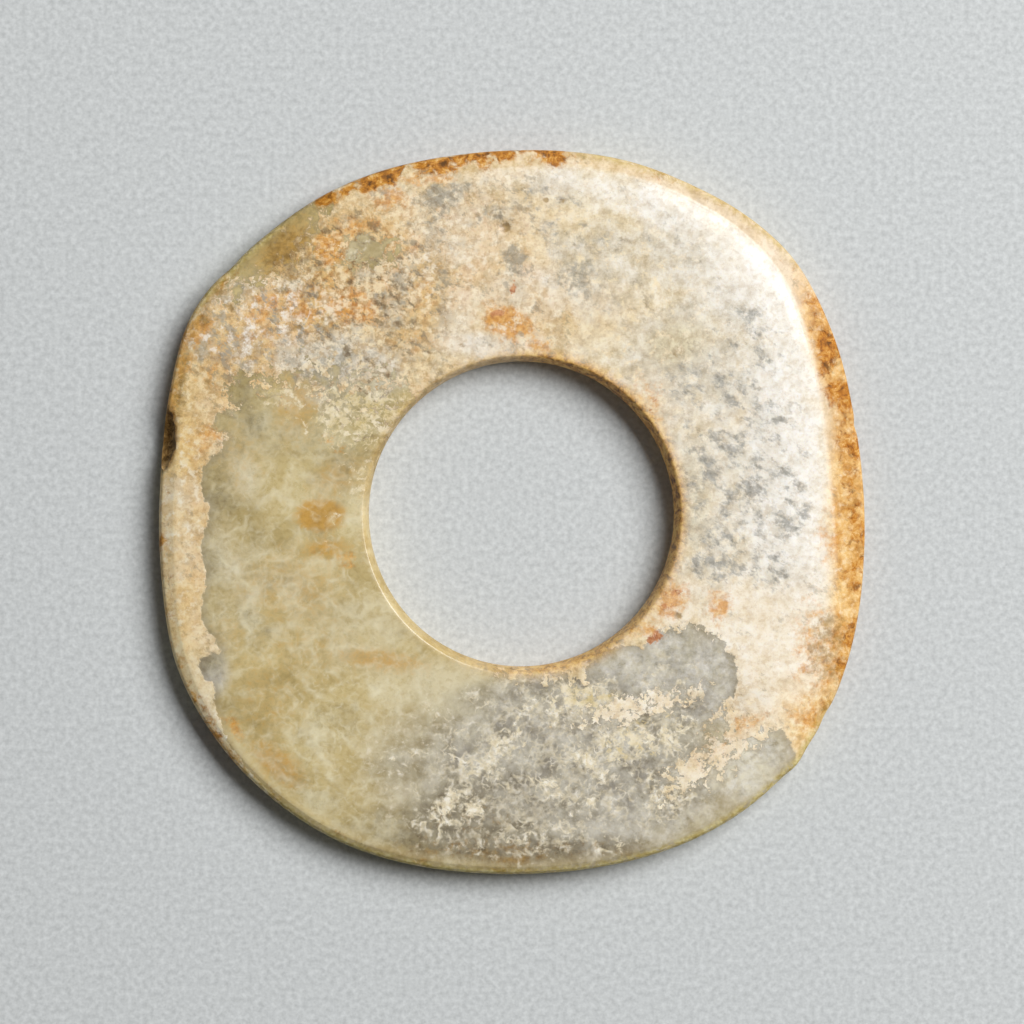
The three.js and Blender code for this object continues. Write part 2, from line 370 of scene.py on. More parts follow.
crustTone = {       # the tone of the crust
    "white": [(44, 6, 8, 34, 0, 1), (40, 36, 12, 9, -45, 1), (28, 48, 12, 5, -25, 0.8),
              (41, -19, 8, 9, 0, 0.8), (36, 10, 12, 26, 0, 0.6), (-9, 33, 4, 7, 20, 0.5),
              (-3, 27.6, 12, 2.4, 0, 0.7), (12, 53, 18, 3, -5, 0.6), (41, -20, 4, 4, 0, 0.3),
              # the white patch at x -54 along the left band is partly the crust's colour and partly painted
              # light, paling the band where it slopes away from the key light
              (1, 37, 8, 4, 0, 0.6), (-12, 42, 5, 4, 0, 0.6), (-54, -3, 4, 14, 0, 0.6),
              (-41, 30, 10, 6, 10, 1.4), (-8, 42, 10, 9, 0, 0.5), (6, 34, 9, 4, 0, 0.5)],
    "peach": [(-44, 26, 12, 14, 20, 0.7), (-26, 37, 16, 13, 0, 0.9), (-6, 44, 14, 10, 0, 0.5),
              (6, 33, 14, 6, 0, 0.6), (-54, 4, 6, 32, 0, 0.8), (48, -31, 6, 9, 0, 0.8),
              (24, 20, 5, 6, 0, 0.5), (26, -14, 4, 6, 0, 0.2), (37, -36, 8, 3.4, 38, 0.6),
              (55, -4, 3.4, 32, 0, 1), (52.5, 24, 3, 14, 20, 1), (20, -24, 10, 2, 25, 0.6),
              (42, -20, 7, 8, 0, 0.3), (4, 37, 8, 5, 0, 0.5)],
    "cream": [(38, -22, 12, 12, 0, 1), (28, -14, 6, 6, 0, 0.9), (22, -32, 12, 4, 14, 1),
              (34, -39, 9, 3, 38, 0.8), (-9, 45, 9, 6, 0, 0.7), (4, 36, 10, 5, 0, 0.7),
              (-54, -2, 4, 12, 0, 0.5)],
    "dull": [(-21, 34, 6, 8, -20, 0.5), (20, 40, 15, 8, 10, 0.65), (30, 26, 10, 12, 0, 0.7),
             (24, 26, 8, 8, 0, 0.7), (30, 0, 6, 16, 0, 0.5), (-8, 51, 10, 4, 0, 0.4),
             (14, 32, 10, 6, 0, 0.3), (-27, 24.5, 9, 4.5, 0, 0.8), (-23, 16, 8, 6, 0, 0.5)],
    "straw": [(29, 3, 4, 9, 0, 0.4), (26.5, 27, 5, 4, 20, 0.6), (10, 30, 8, 4, 0, 0.3),
              (-24, 6, 5, 6, 0, 0.5)],
}
stains = {       # what got into the stone and the crust
    "grey": [(-19, 37, 6, 4, 0, 0.6), (-11, 51.3, 4.6, 2.2, 15, 1), (-14, 47.4, 4, 2.4, 15, 0.7),
             (-2.5, 48.8, 2.6, 1.4, -15, 0.9), (0.5, 41, 2.2, 3, -10, 0.95), (11, 38, 4.4, 3.6, -20, 0.75),
             (12, 43.5, 9, 3, 0, 0.45), (-50.3, 27, 2, 2.6, 10, 1), (-43, 24, 2, 2, 40, 0.7),
             (-35, 36, 4, 2.6, 0, 0.7), (-45, 36, 5, 2, 40, 0.6), (-26, 47, 5, 2.4, 0, 0.5),
             (-21, 51.6, 2.5, 1.4, 0, 0.8), (24, 44, 8, 3, 0, 0.3), (-16, 40, 8, 4, 20, 0.4),
             (29, 2, 4, 7, 10, 0.45), (32, 12, 5, 6, 0, 0.3), (24, 30, 9, 7, 0, 0.2),
             (-21, 34, 5, 8, -20, 0.6), (-28, 29, 7, 2, 0, 0.5), (-29, 24, 8, 4, 0, 0.75)],
    "orange": [(-51.2, 29.4, 2, 3.4, -30, 1.3), (-53.6, 24, 1.6, 4, -15, 1.0), (34, -38, 7, 1.2, 38, 0.4),
               (-55.4, 19, 1.8, 5, -6, 1.1), (-26, 33.5, 5, 3, -20, 1.1), (-29.5, 42.3, 2.8, 2.4, 0, 1.3),
               (-36, 34, 8, 3, 20, 0.6), (-24, 36, 10, 6, 0, 0.45), (-24.5, 46.5, 5, 1.8, 0, 0.7),
               (-20, 50.6, 4, 2.4, 20, 0.8), (-13, 53.8, 5, 1.2, 5, 0.8), (-30, 36, 3, 3, 0, 0.6),
               (-40, 34.5, 4, 1.6, 0, 0.6), (-1, 30.8, 4.4, 2.6, -20, 1.2), (4.5, 27.2, 3.2, 1.2, -10, 0.8),
               (22.5, 19, 2.6, 4, 30, 0.6), (33.6, -15.6, 2.2, 2.8, 0, 0.9), (48, -33, 4, 4, 0, 0.6),
               (39, -33.6, 3.6, 1.4, 22, 0.65), (-48.5, 22, 3, 3, 0, 0.5), (-48.5, 12, 3.2, 2.6, 0, 0.6),
               (-15, 28.6, 3.4, 3, 0, 0.5), (-29, 11, 3, 3, 0, 0.35), (-27, -8, 2.4, 1.6, 0, 0.6),
               (-31, -6, 2, 1.2, 0, 0.5), (-52, 27, 1.4, 5, 0, 0.6), (-10, 42.4, 2, 1, 0, 0.4),
               (22, -19, 3.4, 2, 20, 0.7), (26, -14.4, 2.6, 3.0, -30, 1.0), (52, -3, 3, 6, 0, 0.6),
               (50, -22, 5, 8, 0, 0.7), (-45, -35, 1.4, 4, 30, 0.6), (-41, 28.5, 8, 1.6, 10, 0.5),
               (-13, 34, 3, 5, 0, 0.35)],
    "red": [(23.2, -20.2, 1.7, 1.1, 45, 1), (26.6, -13.2, 1.6, 0.8, 10, 0.8),
            (25.0, -15.4, 1.2, 0.8, 10, 0.8), (-2.6, 32.2, 1.9, 0.5, 5, 1), (0.2, 36.2, 0.5, 1.5, 0, 0.9),
            (23, 17.4, 1.8, 1.0, 50, 0.5)],
    "soil": [(-1.1, 46.2, 1.0, 0.8, 0, 1.3), (-49.3, 20.9, 0.9, 1.2, 0, 0.8), (-51, 22.6, 0.8, 0.7, 0, 0.8),
             (-46, 33.2, 1.3, 0.8, -30, 0.8), (-42.5, 25.3, 1.0, 0.8, 0, 0.8),
             (-35, 29.8, 0.9, 0.6, 20, 1.2), (5.6, 50.6, 0.7, 0.5, 0, 1.1), (8.2, 50.4, 0.6, 0.5, 0, 1.1),
             # the soil patch at (-57.6, 11.8) darkens the flake scar: partly staining, partly painted shade
             (26.8, -16.8, 0.8, 0.6, 0, 1.2), (-8, 27, 0.8, 0.4, 0, 1), (-57.6, 11.8, 2.4, 4.6, -8, 1.3),
             (-30, 38, 12, 5, 20, 0.35), (51.6, -19, 3, 3.6, 0, 0.72), (50.6, -24, 3, 4, 10, 0.72),
             (-48.5, 35.5, 2.4, 4, -35, 0.6), (-37, 42.6, 3, 5, -45, 0.8), (-49.6, 31, 1.8, 1.3, 20, 0.75),
             # some soil patches here, like some deep and umber patches, lie along the bottom rim and make
             # the stone darker towards the bottom edge
             (53.5, 24, 1.6, 9, 14, 0.5), (26, 26, 4, 3, 0, 0.5), (0, -56.2, 6, 1.2, 0, 0.7),
             (28, 14, 4, 8, -30, 0.2), (-53.6, 19, 1.4, 8, -8, 0.6), (-22, 50, 3, 2, 0, 0.4),
             (-3, -54.5, 20, 2, 0, 0.55), (-7, -49.5, 8, 4, 0, 0.4)],
}
figure = {       # how strongly each fine pattern shows, and where
    "lacy": [(4, -42, 20, 13, 0, 1), (20, -36, 11, 6, 26, 1.2), (12, -29.5, 7, 3, 0, 1.1),
             (26, -45, 9, 4, 36, 0.9), (26, -27, 9, 6, 0, 0.3), (-12, -42, 12, 12, 0, 0.5),
             (26, -40, 8, 4, 46, 0.7), (4, -31, 14, 4, 0, 0.9), (2, -52, 18, 4, 0, 0.8),
             (22, -46, 12, 5, 34, 0.5), (-24, 43, 5, 3, 0, 0.4)],
    "wispy": [(-34, -14, 24, 32, 0, 1), (-22, -38, 26, 20, -20, 1.2), (26, -27, 12, 8, 0, 0.7),
              (36, -44, 14, 9, 30, 0.8)],
    "dashes": [(38, 28, 9, 7, -30, 0.8), (34, 19, 10, 8, -30, 0.85), (40, 15, 7, 7, 0, 0.9),
               (38, 8, 11, 8, -20, 1), (31, 8, 7, 9, 0, 0.8), (41, 1, 8, 8, -20, 1), (32, -2, 9, 6, 0, 1),
               (33, -8, 8, 4, 0, 1), (42, -8, 6, 5, -40, 1), (6, 51, 7, 4, 0, 0.8), (8, 46, 9, 4, 0, 0.55),
               (24, 46, 10, 4, 0, 0.4), (41, -20, 4, 4, 0, 0.25), (20, 32, 16, 6, -20, 0.2)],
    "grainy": [(-27, 36, 18, 13, 10, 1), (-44, 27, 9, 13, 20, 0.6), (-10, 46, 14, 9, 10, 0.5),
               (0, 34, 10, 8, 0, 0.35), (-27, 20, 15, 8, 0, 0.8), (-24, 8, 6, 12, 0, 0.7),
               (-52, -4, 6, 30, 0, 0.3), (32, -34, 9, 5, 40, 0.4), (-20, 27, 9, 6, 0, 0.7)],
    "specks": [(-25, 16, 11, 7, 0, 0.95), (-24, 5, 6, 9, 0, 0.65), (-37, 19, 7, 3, 0, 0.8),
               (-30, -2, 6, 5, 0, 0.5), (12, -30, 7, 3, 0, 1), (20, -37, 9, 4, 26, 0.8)],
}

ironRim = {       # iron along the bevel: bearings, and how much there
    "bearings": [-60, -45, -40, -34, -28, -18, -8, 0, 8, 18, 26, 32, 36, 45, 60, 68, 72, 80, 84, 96, 104,
                 110, 114, 120, 124, 135, 146, 150, 156, 164, 172, 182, 186, 194, 200, 212, 222, 236, 260,
                 280, 300],
    "amounts": [0.2, 0.15, 0.3, 0.5, 0.75, 0.7, 0.65, 0.65, 0.75, 0.8, 0.9, 0.7, 0.35, 0.25, 0.3, 0.45,
                0.25, 0.3, 1.1, 1.2, 1.3, 1.3, 1.4, 1.3, 0.4, 0.3, 0.6, 0.9, 0.5, 0.7, 0.3, 0.3, 0.5, 0.4,
                0.4, 0.5, 0.7, 0.35, 0.4, 0.35, 0.2],
}
rimLine = {       # the pale line round the very edge
    "bearings": [-180, -140, -130, -40, -34, -25, 36, 44, 76, 82, 124, 130, 146, 152, 180],
    "amounts": [0.0, 0.2, 0.9, 0.9, 0.5, 0.0, 0.0, 0.6, 0.6, 0.0, 0.0, 0.8, 0.8, 0.0, 0.0],
}
ironHole = {       # iron round the hole
    "bearings": [-180, -150, -120, -95, -80, -45, 0, 40, 80, 95, 120, 150, 180],
    "amounts": [0.1, 0.0, 0.1, 0.4, 0.7, 0.7, 1.0, 1.0, 1.0, 0.4, 0.2, 0.15, 0.1],
}
polish = {       # the glossy band inside the bevel
    "bearings": [-180, -20, 0, 18, 30, 68, 84, 100, 180],
    "amounts": [0, 0, 0.4, 0.9, 1, 1, 0.6, 0, 0],
}
# how far each colour reaches in from the bevel, the rim or the hole's throat, and how wide its edge is
# two of these reaches are for painted light, paling the bevel and the roll inside it on the side away from
# the key light
reaches = {"bevel": (0.3, 0.6), "paintedLightFarBevel": (2, 2), "paintedLightFarRoll": (5, 4), "polish": (6, 3), "rimLine": (1.5, 1),
           "hole": (1.5, 1), "holeIron": (3.2, 2.4)}
ironReach = {"most": 1.35, "fall": 1.3, "past": 1}        # from the rim to this far past the bevel
crustDepth = 6              # past this far from its edge, the crust is even
evenFray, frayReach = 0.35, 2.0        # how ragged the crust's edge is, and how much more where it is frayed
# the key light comes from this bearing: the bevel is painted darker towards it as painted shade, and paler
# on the other side as painted light
keyLightBearing = 34            # the bevel is darker towards this bearing and paler on the other side
washEdge = {"tone": 0.8, "figure": 0.7}        # how wide the washes' edges are, as a share of the patch
underside = {"stains": 0.3, "figure": 0.25,                              # how much of each is left there
             "crustX": 12, "slant": 0.5, "sway": 5, "swayLength": 9}      # and the line that its crust keeps


def distanceInside(x, y, patch):
    # in millimetres, roughly: positive inside the patch, 0 on its edge
    atX, atY, long, wide, turn = patch[:5]
    turn = math.radians(turn)
    u = ((x - atX) * math.cos(turn) + (y - atY) * math.sin(turn)) / long
    v = ((y - atY) * math.cos(turn) - (x - atX) * math.sin(turn)) / wide
    return (1 - np.hypot(u, v)) * min(long, wide)


def union(x, y, patches):
    return np.maximum.reduce([distanceInside(x, y, patch) for patch in patches])


def wash(x, y, patches, edge=0.5):
    # 1 inside the patches and 0 outside, with an edge as wide as that share of the patch
    total = np.zeros_like(x)
    for patch in patches:
        inside = distanceInside(x, y, patch) / min(patch[2:4])
        share = np.clip(0.5 + inside / (2 * edge), 0, 1)
        total = np.maximum(total, patch[5] * share * share * (3 - 2 * share))
    return total


def around(x, y, band):
    # a band's amount at the bearing of each point
    bearing = np.degrees(np.arctan2(y, x))
    bearing = np.where(bearing < band["bearings"][0], bearing + 360, bearing)
    return np.interp(bearing, band["bearings"], band["amounts"])


def fade(distance, reach, edge):
    # 1 nearby and 0 from the reach on, falling over the last stretch of it
    return np.clip((reach - distance) / edge, 0, 1)


def setAttribute(piece, name, values):
    attribute = piece.data.attributes.new(name, "FLOAT", "POINT")
    attribute.data.foreach_set("value", values.astype(np.float32))


def crustField(x, y, inset, above):
    # how far inside the crust's edge each point lies
    jade = union(x, y, [patch for patches in bare.values() for patch in patches])
    jade = np.minimum(jade, -union(x, y, creamTongues))
    jade = np.minimum(jade, inset - around(x, y, leftBand))
    jade = np.maximum(jade, union(x, y, bays))
    under = underside["crustX"] - x - underside["slant"] * y
    under = under + underside["sway"] * np.sin(y / underside["swayLength"])
    return np.clip(-above * jade - (1 - above) * under, -crustDepth, crustDepth)


def markZones(ring):
    places = coordinates(ring)
    x, y = places[:, 0], places[:, 1]
    above = np.clip(places[:, 2] / middle - 0.1, 0, 1)         # the underside is plainer
    inset = fromRim(x, y)
    setAttribute(ring, "crust", crustField(x, y, inset, above))
    setAttribute(ring, "fray", evenFray + frayReach * wash(x, y, frayed))
    for name, patches in [*body.items(), *crustTone.items()]:
        setAttribute(ring, name, wash(x, y, patches, washEdge["tone"]))
    for group, edge, left in ((stains, washEdge["tone"], underside["stains"]),
                              (figure, washEdge["figure"], underside["figure"])):
        for name, patches in group.items():
            setAttribute(ring, name, wash(x, y, patches, edge) * (left + (1 - left) * above))
    setAttribute(ring, "scar", fade(fromScoop(places), flake["scarReach"], flake["scarFade"]))

    bearing = np.arctan2(y, x)
    facing = np.cos(bearing - math.radians(keyLightBearing))
    width = bevelWidth(bearing)
    pastBevel = inset - width
    fromThroat = np.hypot(x - holeX, y - holeY) - stone["throat"]
    arris = fade(pastBevel, *reaches["bevel"])
    setAttribute(ring, "bevel", arris)
    # painted shade: the bevel is darkened where it faces the key light
    setAttribute(ring, "paintedShadeLitBevel", arris * np.clip(facing, 0, 1))
    # painted light: the bevel and, further in, the roll are paled on the side away from the key light
    for name in ("paintedLightFarBevel", "paintedLightFarRoll"):
        setAttribute(ring, name, fade(pastBevel, *reaches[name]) * np.clip(-facing, 0, 1))
    setAttribute(ring, "polish", fade(pastBevel, *reaches["polish"]) * (1 - arris) * around(x, y, polish))
    setAttribute(ring, "rimLine", fade(inset, *reaches["rimLine"]) * around(x, y, rimLine))
    outside = np.clip(ironReach["most"] - ironReach["fall"] * inset / (width + ironReach["past"]), 0, 1)
    setAttribute(ring, "iron", outside * around(x, y, ironRim))
    setAttribute(ring, "hole", fade(fromThroat, *reaches["hole"]))
    golden = fade(fromThroat, *reaches["holeIron"]) ** 1.5
    setAttribute(ring, "holeIron", golden * around(x - holeX, y - holeY, ironHole))


# each pattern's largest grains in millimetres, how many finer sizes it has, and how strong those are
grains = {
    "cloud": (9, 6, 0.62), "haze": (1.0, 4, 0.62), "mottle": (2.2, 7, 0.7), "patchy": (5.5, 3, 0.6),
    "cells": (4, 6, 0.68), "laceCrumbs": (1.5, 5, 0.66), "crumbly": (4.6, 6, 0.7), "specks": (1.4, 5, 0.7),
    "ragged": (1.7, 6, 0.68), "dashes": (1.3, 4, 0.62), "smudge": (3.6, 4, 0.6), "grey": (1.7, 4, 0.68),
    "orange": (1.7, 5, 0.7), "groups": (5, 3, 0.6), "crumbs": (1.4, 5, 0.66), "darkGrain": (1.25, 5, 0.68),
    "flecks": (0.95, 4, 0.7), "iron": (1.2, 6, 0.72), "rust": (1.7, 6, 0.74), "red": (0.95, 3, 0.6),
    "soil": (1.4, 5, 0.7), "fibre": (0.9, 4, 0.6),
}
tones = {      # one colour, or several along a pattern
    "green": [(0.34, "b09c66"), (0.44, "c2ae78"), (0.55, "d0bd88"), (0.66, "dfd2a6")],
    "ashen": [(0.41, "a9a395"), (0.47, "c0bbaf"), (0.53, "d2cdc2"), (0.6, "e6e2d8")],
    "pale": "e4d9b6",
    "ochre": "ca9634",
    "deep": [(0.36, "7c6f50"), (0.62, "a0926a")],
    "hazy": "f0ece2",
    "wispy": "ece3c2",
    "cells": [(0.38, "6c6252"), (0.46, "928977"), (0.54, "b2ab99"), (0.62, "cbc5b6")],
    "umber": [(0.38, "5f5442"), (0.6, "85795f")],
    "lace": [(0.35, "ddcfae"), (0.5, "eee2c6"), (0.62, "faf3e2")],
    "specks": [(0.38, "d9c48c"), (0.6, "f6e9ca")],
    "rind": [(0.36, "cdb78c"), (0.45, "e2cfa8"), (0.54, "f0e2c4"), (0.64, "faf1dc")],
    "white": [(0.36, "e8dfd0"), (0.45, "f2ebde"), (0.54, "f9f4ea"), (0.64, "fefcf8")],
    "peach": [(0.36, "bf8f48"), (0.45, "deb06a"), (0.53, "f0cb88"), (0.64, "fce6b8")],
    "cream": [(0.36, "ecd9b8"), (0.45, "f6e7cc"), (0.54, "fcf0db"), (0.64, "fff7e8")],
    "crumbly": [(0.36, "857960"), (0.43, "a8926a"), (0.50, "d0ac6a"), (0.57, "e8c080"), (0.64, "cf8f3c")],
    "dull": [(0.36, "c2b8a2"), (0.45, "d6ccb8"), (0.54, "e3dbca"), (0.64, "f0ebdf")],
    "straw": [(0.38, "b09a5e"), (0.62, "e4d6aa")],
    "shore": "8a7d66",
    "smudge": "bfbaa8",
    "dashes": [(0.35, "7d7b72"), (0.62, "b1aea6")],
    "grey": [(0.35, "8f8877"), (0.62, "aca595")],
    "orange": [(0.35, "c27a12"), (0.5, "de9830"), (0.65, "efba66")],
    "crumbs": "fae6bc",
    "crumbsOnWhite": "fffaf0",
    "darkGrain": [(0.4, "6e5a38"), (0.6, "998560")],
    "darkGrainOnWhite": "a5a195",
    "flecks": "cdb898",
    # painted light for the bevel and roll on the side away from the key light
    "paintedLightFarBevel": "a88c5a",
    "iron": [(0.36, "5e3a10"), (0.43, "985f18"), (0.50, "c38026"), (0.57, "daa44c"), (0.65, "f2d09a")],
    "red": [(0.38, "a65c2c"), (0.6, "d49460")],
    "soil": [(0.35, "7d5c24"), (0.62, "a98646")],
    # the scar's colours are partly staining and partly painted shade
    "scar": [(0.36, "33240c"), (0.48, "6f4c1e"), (0.6, "b8925a")],
    "rimLine": [(0.35, "ac964e"), (0.5, "cbb872"), (0.65, "e2d79c")],
    # painted shade for the bevel where it faces the key light
    "paintedShadeLitBevel": "dcc4a0",
    # painted shade for the hole's wall and lip
    "hole": "ebe5d8",
    "holeIron": [(0.38, "6e460e"), (0.47, "cc8c28"), (0.57, "f2c468")],
    "paper": [(0.3, "bbbebe"), (0.7, "d8dbdb")],
}
strengths = {      # how much of each colour there is at most
    "wispy": 0.6, "ashen": 1.0, "pale": 0.75, "ochre": 0.8, "deep": 0.7, "cells": 0.7, "umber": 0.65,
    "white": 1.0, "peach": 1.0, "cream": 0.9, "crumbly": 0.75, "dull": 1.0, "straw": 0.8,
    "specks": 0.9, "shore": 0.42, "smudge": 0.35, "dashes": 0.85, "grey": 0.8, "orange": 0.8, "crumbs": 0.75,
    # two of these strengths set painted light on the bevel's far side and painted shade on its side towards
    # the key light
    "paintedLightFarRoll": 0.7, "iron": 0.95, "red": 0.9, "soil": 0.75, "scar": 0.85, "paintedShadeLitBevel": 0.6, "holeIron": 0.95,
}
softness = {      # how soft the edges of the spots are
    "laceCrumbs": 0.3, "specks": 0.2, "dashes": 0.35, "smudge": 0.6, "grey": 0.5, "orange": 0.5,
    "crumbs": 0.3, "darkGrain": 0.2, "iron": 0.5, "red": 0.3, "soil": 0.5,
}
wisps = [(7, 1.0), (3.4, 0.7)]                                           # size and how strong
laceThreads = [(3.2, 0.035, 1.0), (1.9, 0.045, 0.85), (1.2, 0.055, 0.7)]      # size, width and how strong
crumbThreads = (1.7, 0.05, 0.6)                                          # the same, among the crust's crumbs
slants = {"dashes": (-32, (1.9, 1.3, 1.5)), "darkGrain": (-40, (1.4, 0.9, 1.0))}         # turn and stretch
gloss = {"roughness": 0.16, "mottled": 0.3, "crust": 0.1, "ground": 0.62, "polished": 0.15,
         "subsurface": 0.12, "subsurfaceRadius": (1.0, 0.85, 0.5), "subsurfaceScale": 0.6, "ior": 1.61,
         "specular": 0.5, "bevelSpecular": -0.4}
relief = {"crust": 0.8, "crustMottle": 0.9, "jadeMottle": 0.15, "dashes": 0.6, "height": 0.06,
          "strength": 0.5, "polished": -0.4}


def rgba(code):
    parts = [int(code[i:i + 2], 16) / 255 for i in (0, 2, 4)]
    return [part / 12.92 if part <= 0.04045 else ((part + 0.055) / 1.055) ** 2.4 for part in parts] + [1.0]


class Finish:
    # a material's nodes, each added by one call that gives back its outlet
    def __init__(self, name):
        self.material = bpy.data.materials.new(name)
        self.material.use_nodes = True
        self.tree = self.material.node_tree
        self.shader = self.tree.nodes["Principled BSDF"]
        self.place = self.node("Mapping", Vector=self.node("TexCoord", "Object"),
                               Scale=(1 / mm, 1 / mm, 1 / mm))        # so sizes are in millimetres

    def node(self, kind, outlet=0, settings=None, **inputs):
        made = self.tree.nodes.new("ShaderNode" + kind)
        for name, value in (settings or {}).items():
            setattr(made, name, value)
        for name, value in inputs.items():
            self.plug(made.inputs[name], value)
        return made.outputs[outlet]

    def plug(self, inlet, value):
        if isinstance(value, bpy.types.NodeSocket):
            self.tree.links.new(value, inlet)
        else:
            inlet.default_value = value

    def attribute(self, name):
        return self.node("Attribute", "Fac", {"attribute_name": name})

    def noise(self, place, size, detail, roughness, outlet="Fac"):
        # size is that of the largest grains, in millimetres
        return self.node("TexNoise", outlet, Vector=place, Scale=1 / size, Detail=detail,
                         Roughness=roughness)

    def grain(self, place, name):
        return self.noise(place, *grains[name])

    def maths(self, operation, *values):
        made = self.tree.nodes.new("ShaderNodeMath")
        made.operation = operation
        for inlet, value in zip(made.inputs, values):
            self.plug(inlet, value)
        return made.outputs[0]

    def times(self, first, *others):
        for other in others:
            first = self.maths("MULTIPLY", first, other)
        return first

    def largest(self, first, *others):
        for other in others:
            first = self.maths("MAXIMUM", first, other)
        return first

    def plus(self, one, other):
        return self.maths("ADD", one, other)

    def line(self, value, slope, start):
        return self.maths("MULTIPLY_ADD", value, slope, start)

    def rise(self, value, low, high):
        # 0 below low, 1 above high
        made = self.tree.nodes.new("ShaderNodeMapRange")
        made.interpolation_type = "SMOOTHSTEP"
        for name, amount in (("Value", value), ("From Min", low), ("From Max", high)):
            self.plug(made.inputs[name], amount)
        return made.outputs[0]

    def blend(self, share, below, above, kind="MIX"):
        made = self.tree.nodes.new("ShaderNodeMix")
        made.data_type = "RGBA"
        made.blend_type = kind
        for inlet, value in ((0, share), (6, below), (7, above)):        # a colour mix's factor, A and B
            self.plug(made.inputs[inlet], value)
        return made.outputs[2]

    def tone(self, name, pattern=None):
        if pattern is None:
            return rgba(tones[name])
        made = self.tree.nodes.new("ShaderNodeValToRGB")
        elements = made.color_ramp.elements
        while len(elements) < len(tones[name]):
            elements.new(0.5)
        for element, (place, code) in zip(elements, tones[name]):
            element.position = place
            element.color = rgba(code)
        self.plug(made.inputs[0], pattern)
        return made.outputs[0]

    def darken(self, share, colour, name):
        return self.blend(share, colour, self.blend(1.0, colour, self.tone(name), "MULTIPLY"))


def stir(finish, place, size, reach):
    # moves a place about by up to so many millimetres, in swirls of that size
    made = finish.tree.nodes.new("ShaderNodeVectorMath")
    made.operation = "MULTIPLY_ADD"
    finish.plug(made.inputs[0], finish.noise(place, size, 2, 0.5, "Color"))
    made.inputs[1].default_value = (reach, reach, reach)
    finish.plug(made.inputs[2], place)
    return made.outputs[0]


def layWash(finish, colour, name, pattern, along=None):
    # a wash painted on the stone, its edge stirred by a pattern
    level = finish.plus(finish.attribute(name), finish.line(pattern, 1.2, -0.6))
    share = finish.times(finish.rise(level, 0.05, 0.95), strengths[name])
    return finish.blend(share, colour, finish.tone(name, along))


def stipple(finish, name, place, amount):
    # the share of a surface that spots cover: their amount is painted, and a pattern breaks it up
    level = finish.plus(finish.line(amount, 1.5, -1.0), finish.line(finish.grain(place, name), 3.2, -1.6))
    return finish.rise(level, -softness[name], softness[name])


def layStain(finish, colour, name, place, along):
    share = stipple(finish, name, place, finish.attribute(name))
    return finish.blend(finish.times(share, strengths[name]), colour, finish.tone(name, along))


def threads(finish, place, size, width, amount):
    # short curling threads, where a smooth pattern crosses its middle, broken up by another pattern
    curling = stir(finish, place, size * 0.42, size * 0.35)
    off = finish.maths("ABSOLUTE", finish.maths("SUBTRACT", finish.noise(curling, size, 1.4, 0.55), 0.5))
    thread = finish.rise(off, width * 1.9, width * 0.4)
    kept = finish.line(amount, 0.17, finish.noise(place, size * 1.5, 3, 0.6))
    return finish.times(thread, finish.rise(kept, 0.60, 0.74))


def smoke(finish, place, size):
    # soft branching wisps
    ridges = finish.node("TexNoise", "Fac", {"noise_type": "RIDGED_MULTIFRACTAL", "normalize": False},
                         Vector=place, Scale=1 / size, Detail=3, Roughness=0.6, Offset=1.0, Gain=2.0)
    return finish.rise(ridges, 1.2, 2.3)


def slantedPlace(finish, name, place):
    turn, stretch = slants[name]
    return finish.node("Mapping", 0, {"vector_type": "TEXTURE"}, Vector=place,
                       Rotation=(0, 0, math.radians(turn)), Scale=stretch)


def addPatterns(jade):
    # the patterns that several colours share
    jade.stirred = stir(jade, jade.place, 2.6, 2.2)
    jade.curled = stir(jade, jade.stirred, 1.0, 0.7)
    jade.cloud = jade.grain(jade.stirred, "cloud")
    jade.haze = jade.grain(jade.place, "haze")
    jade.mottle = jade.grain(jade.place, "mottle")
    jade.patchy = jade.grain(jade.stirred, "patchy")
    jade.rusty = jade.grain(jade.curled, "iron")
    jade.grainy = jade.attribute("grainy")


def clearStone(jade):
    # the jade itself: clouds of yellow green, grey and ochre, with wisps
    colour = jade.tone("green", jade.cloud)
    along = jade.line(jade.mottle, 0.6, jade.times(jade.cloud, 0.4))
    colour = layWash(jade, colour, "ashen", jade.cloud, along)
    colour = layWash(jade, colour, "pale", jade.patchy)
    colour = layWash(jade, colour, "ochre", jade.haze)
    colour = layWash(jade, colour, "deep", jade.patchy, jade.haze)
    colour = jade.darken(jade.rise(jade.haze, 0.56, 0.34), colour, "hazy")
    wispy = jade.largest(*[jade.times(smoke(jade, jade.stirred, size), strong) for size, strong in wisps])
    wispy = jade.times(wispy, jade.attribute("wispy"), strengths["wispy"])
    return jade.blend(wispy, colour, jade.tone("wispy"))


def addLace(jade, colour):
    # cream threads and crumbs over dark grey and brown
    lacy = jade.attribute("lacy")
    cells = jade.tone("cells", jade.grain(jade.stirred, "cells"))
    colour = jade.blend(jade.times(jade.rise(lacy, 0.1, 0.8), strengths["cells"]), colour, cells)
    colour = layWash(jade, colour, "umber", jade.patchy, jade.haze)
    lace = jade.largest(*[jade.times(threads(jade, jade.place, size, width, lacy), strong)
                          for size, width, strong in laceThreads])
    within = jade.rise(lacy, 0.02, 0.4)
    lace = jade.times(lace, within, jade.line(jade.rise(jade.patchy, 0.4, 0.6), 0.45, 0.5))
    amount = jade.line(lacy, 0.5, jade.line(jade.patchy, 2.2, -1.16))
    crumbs = stipple(jade, "laceCrumbs", jade.curled, amount)
    lace = jade.largest(lace, jade.times(crumbs, within))
    return jade.blend(lace, colour, jade.tone("lace", jade.haze))


